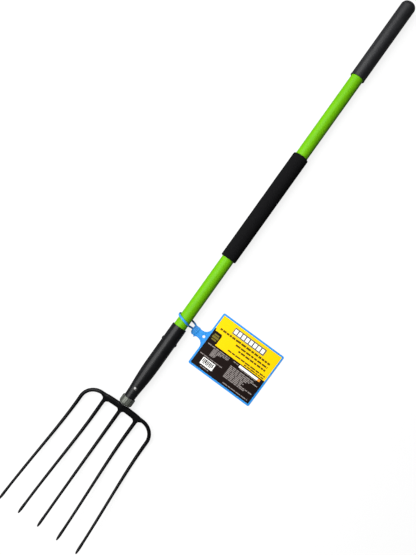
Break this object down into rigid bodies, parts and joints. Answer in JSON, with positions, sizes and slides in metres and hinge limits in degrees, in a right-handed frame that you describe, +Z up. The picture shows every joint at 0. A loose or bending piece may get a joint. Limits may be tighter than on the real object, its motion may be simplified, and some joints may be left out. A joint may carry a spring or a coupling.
{
  "type": "long-handled five-tine fork",
  "caption": "Long straight-handled garden fork with slim curved round tines, a black socket with a plated collar, foam and end grips, and a strap-on hang tag.",
  "frame": {"origin": "on the ground under the middle of the whole object as it lies on its back, tine points up: half-way along its length and half-way across its width with the tag laid out beside it", "axes": "+X along the handle from the tines to the end grip, +Z up from the ground through the open side of the tines, +Y to the side away from the tag"},
  "size_m": [1.524, 0.3648, 0.0776],
  "materials": {
    "black_lacquer": "gloss black paint over forged steel",
    "plated_steel": "zinc plated, drawn streaks",
    "black_nylon": "satin moulded plastic",
    "core_wood": "plain turned hardwood",
    "bright_steel": "polished",
    "black_steel": "satin black",
    "green_fibreglass": "glossy lime green",
    "black_cap": "matte",
    "black_foam": "matte closed-cell foam",
    "soft_black": "soft satin",
    "blue_plastic": "translucent-looking bright blue",
    "printed_sheet": "printed yellow over dark brown"
  },
  "bodies": {
    "fork": {"fork_head": "black_lacquer", "collar_ring": "plated_steel", "socket": "black_nylon", "core_plug": "core_wood", "tang_rivet": "bright_steel", "rivet_washer": "bright_steel", "socket_rivet": "black_steel", "handle_tube": "green_fibreglass", "tube_plug": "black_cap", "foam_grip": "black_foam", "end_grip": "soft_black"},
    "strap": {"tag_strap": "blue_plastic"},
    "tag": {"tag_frame": "blue_plastic", "tag_label": "printed_sheet"}
  },
  "joints": [
    {"name": "tag_turn", "type": "hinge", "parent": "fork", "child": "strap", "pos_m": [-0.1783, 0.06946, 0.0205], "axis": [-1, 0, 0], "continuous": true},
    {"name": "tag_swing", "type": "hinge", "parent": "strap", "child": "tag", "pos_m": [-0.1793, 0.04116, 0.0006], "axis": [-1, 0, 0], "range_deg": [-80, 90]}
  ]
}
